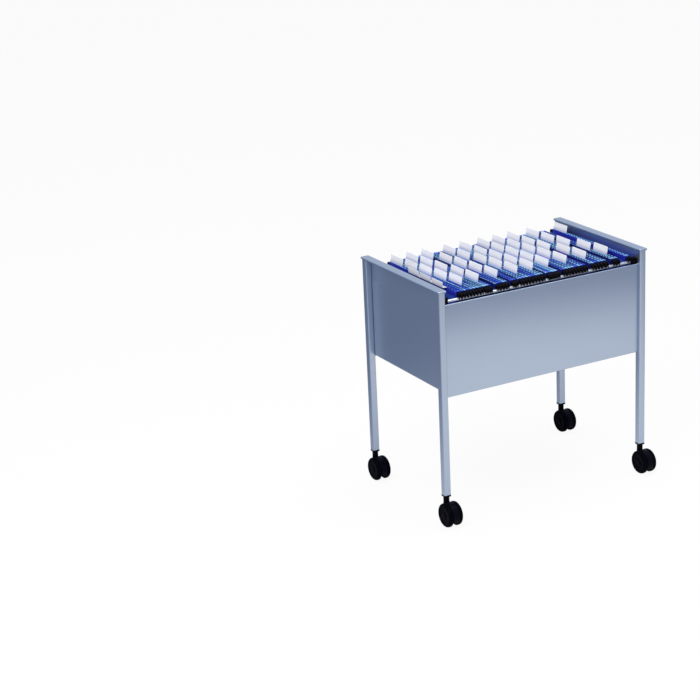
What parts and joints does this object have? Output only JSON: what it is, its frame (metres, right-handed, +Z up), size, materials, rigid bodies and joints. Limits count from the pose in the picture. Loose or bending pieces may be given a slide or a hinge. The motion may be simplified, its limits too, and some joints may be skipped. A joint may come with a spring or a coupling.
{
  "type": "mobile file cart",
  "caption": "Open steel cart on twin-wheel swivel casters, with two rods behind its folded panels that carry a row of hanging files with tabs.",
  "frame": {"origin": "on the floor, under the middle of the whole cart's box", "axes": "+Z up, +X along the row of files to the right as seen from the front, +Y to the back"},
  "size_m": [0.6216, 0.412, 0.5945],
  "materials": {
    "silver_paint": "semi-gloss metallic powder coat, blue-grey silver",
    "black_plastic": "satin moulded plastic",
    "wheel_plastic": "smooth moulded plastic",
    "steel": "bright zinc",
    "file_card": "smooth dyed file card",
    "strip_plastic": "moulded strip ends",
    "tab_plastic": "milky index tab"
  },
  "bodies": {
    "frame": {"front_left_leg": "silver_paint", "front_left_leg_insert": "black_plastic", "front_right_leg": "silver_paint", "front_right_leg_insert": "black_plastic", "back_left_leg": "silver_paint", "back_left_leg_insert": "black_plastic", "back_right_leg": "silver_paint", "back_right_leg_insert": "black_plastic", "left_end_rail": "silver_paint", "left_end_panel": "silver_paint", "right_end_rail": "silver_paint", "right_end_panel": "silver_paint", "front_panel": "silver_paint", "back_panel": "silver_paint", "front_hanging_rod": "steel", "front_left_rod_holder": "black_plastic", "front_right_rod_holder": "black_plastic", "back_hanging_rod": "steel", "back_left_rod_holder": "black_plastic", "back_right_rod_holder": "black_plastic"},
    "front_left_swivel": {"front_left_caster_stem": "steel", "front_left_caster_hood": "black_plastic", "front_left_caster_axle": "steel"},
    "front_left_left_wheel_body": {"front_left_left_wheel": "wheel_plastic"},
    "front_left_right_wheel_body": {"front_left_right_wheel": "wheel_plastic"},
    "front_right_swivel": {"front_right_caster_stem": "steel", "front_right_caster_hood": "black_plastic", "front_right_caster_axle": "steel"},
    "front_right_left_wheel_body": {"front_right_left_wheel": "wheel_plastic"},
    "front_right_right_wheel_body": {"front_right_right_wheel": "wheel_plastic"},
    "back_left_swivel": {"back_left_caster_stem": "steel", "back_left_caster_hood": "black_plastic", "back_left_caster_axle": "steel"},
    "back_left_left_wheel_body": {"back_left_left_wheel": "wheel_plastic"},
    "back_left_right_wheel_body": {"back_left_right_wheel": "wheel_plastic"},
    "back_right_swivel": {"back_right_caster_stem": "steel", "back_right_caster_hood": "black_plastic", "back_right_caster_axle": "steel"},
    "back_right_left_wheel_body": {"back_right_left_wheel": "wheel_plastic"},
    "back_right_right_wheel_body": {"back_right_right_wheel": "wheel_plastic"},
    "bundle_1": {"bundle_1_files_1_to_4": "file_card", "bundle_1_files_5_to_8": "file_card"},
    "bundle_2": {"bundle_2_files_1_to_3": "file_card"},
    "bundle_3": {"bundle_3_files_1_to_4": "file_card"},
    "bundle_4": {"bundle_4_files_1_to_2": "file_card"},
    "bundle_5": {"bundle_5_files_1_to_4": "file_card", "bundle_5_files_5_to_8": "file_card"},
    "bundle_6": {"bundle_6_files_1_to_4": "file_card", "bundle_6_files_5_to_5": "file_card"},
    "bundle_7": {"bundle_7_files_1_to_4": "file_card", "bundle_7_files_5_to_8": "file_card"},
    "bundle_8": {"bundle_8_files_1_to_4": "file_card", "bundle_8_files_5_to_5": "file_card"},
    "bundle_9": {"bundle_9_files_1_to_1": "file_card"},
    "lift_file": {"lift_file_card": "file_card", "lift_file_left_strip": "strip_plastic", "lift_file_right_strip": "strip_plastic", "lift_file_tab": "tab_plastic"},
    "end_file": {"end_file": "file_card"}
  },
  "joints": [
    {"name": "front_left_swivel_turn", "type": "hinge", "parent": "frame", "child": "front_left_swivel", "pos_m": [-0.291, -0.158, 0.0715], "axis": [0, 0, 1], "continuous": true},
    {"name": "front_left_left_wheel_roll", "type": "hinge", "parent": "front_left_swivel", "child": "front_left_left_wheel_body", "pos_m": [-0.291, -0.176, 0.03], "axis": [1, 0, 0], "continuous": true},
    {"name": "front_left_right_wheel_roll", "type": "hinge", "parent": "front_left_swivel", "child": "front_left_right_wheel_body", "pos_m": [-0.291, -0.176, 0.03], "axis": [1, 0, 0], "continuous": true},
    {"name": "front_right_swivel_turn", "type": "hinge", "parent": "frame", "child": "front_right_swivel", "pos_m": [0.291, -0.158, 0.0715], "axis": [0, 0, 1], "continuous": true},
    {"name": "front_right_left_wheel_roll", "type": "hinge", "parent": "front_right_swivel", "child": "front_right_left_wheel_body", "pos_m": [0.291, -0.176, 0.03], "axis": [1, 0, 0], "continuous": true},
    {"name": "front_right_right_wheel_roll", "type": "hinge", "parent": "front_right_swivel", "child": "front_right_right_wheel_body", "pos_m": [0.291, -0.176, 0.03], "axis": [1, 0, 0], "continuous": true},
    {"name": "back_left_swivel_turn", "type": "hinge", "parent": "frame", "child": "back_left_swivel", "pos_m": [-0.291, 0.194, 0.0715], "axis": [0, 0, 1], "continuous": true},
    {"name": "back_left_left_wheel_roll", "type": "hinge", "parent": "back_left_swivel", "child": "back_left_left_wheel_body", "pos_m": [-0.291, 0.176, 0.03], "axis": [1, 0, 0], "continuous": true},
    {"name": "back_left_right_wheel_roll", "type": "hinge", "parent": "back_left_swivel", "child": "back_left_right_wheel_body", "pos_m": [-0.291, 0.176, 0.03], "axis": [1, 0, 0], "continuous": true},
    {"name": "back_right_swivel_turn", "type": "hinge", "parent": "frame", "child": "back_right_swivel", "pos_m": [0.291, 0.194, 0.0715], "axis": [0, 0, 1], "continuous": true},
    {"name": "back_right_left_wheel_roll", "type": "hinge", "parent": "back_right_swivel", "child": "back_right_left_wheel_body", "pos_m": [0.291, 0.176, 0.03], "axis": [1, 0, 0], "continuous": true},
    {"name": "back_right_right_wheel_roll", "type": "hinge", "parent": "back_right_swivel", "child": "back_right_right_wheel_body", "pos_m": [0.291, 0.176, 0.03], "axis": [1, 0, 0], "continuous": true},
    {"name": "bundle_1_slide", "type": "slide", "parent": "frame", "child": "bundle_1", "axis": [1, 0, 0], "range_m": [-0.028, 0.0036]},
    {"name": "bundle_2_slide", "type": "slide", "parent": "frame", "child": "bundle_2", "axis": [1, 0, 0], "range_m": [-0.0036, 0.0131]},
    {"name": "bundle_3_slide", "type": "slide", "parent": "frame", "child": "bundle_3", "axis": [1, 0, 0], "range_m": [-0.0131, 0.0088]},
    {"name": "bundle_4_slide", "type": "slide", "parent": "frame", "child": "bundle_4", "axis": [1, 0, 0], "range_m": [-0.0088, 0.006]},
    {"name": "bundle_5_slide", "type": "slide", "parent": "frame", "child": "bundle_5", "axis": [1, 0, 0], "range_m": [-0.006, 0.008]},
    {"name": "bundle_6_slide", "type": "slide", "parent": "frame", "child": "bundle_6", "axis": [1, 0, 0], "range_m": [-0.008, 0.01]},
    {"name": "bundle_7_slide", "type": "slide", "parent": "frame", "child": "bundle_7", "axis": [1, 0, 0], "range_m": [-0.01, 0.013]},
    {"name": "bundle_8_slide", "type": "slide", "parent": "frame", "child": "bundle_8", "axis": [1, 0, 0], "range_m": [-0.013, 0.015]},
    {"name": "bundle_9_slide", "type": "slide", "parent": "frame", "child": "bundle_9", "axis": [1, 0, 0], "range_m": [-0.015, 0.0008]},
    {"name": "lift_file_lift", "type": "slide", "parent": "frame", "child": "lift_file", "axis": [0, 0, 1], "range_m": [0, 0.26]},
    {"name": "end_file_slide", "type": "slide", "parent": "frame", "child": "end_file", "axis": [1, 0, 0], "range_m": [-0.0242, 0.0006]}
  ]
}
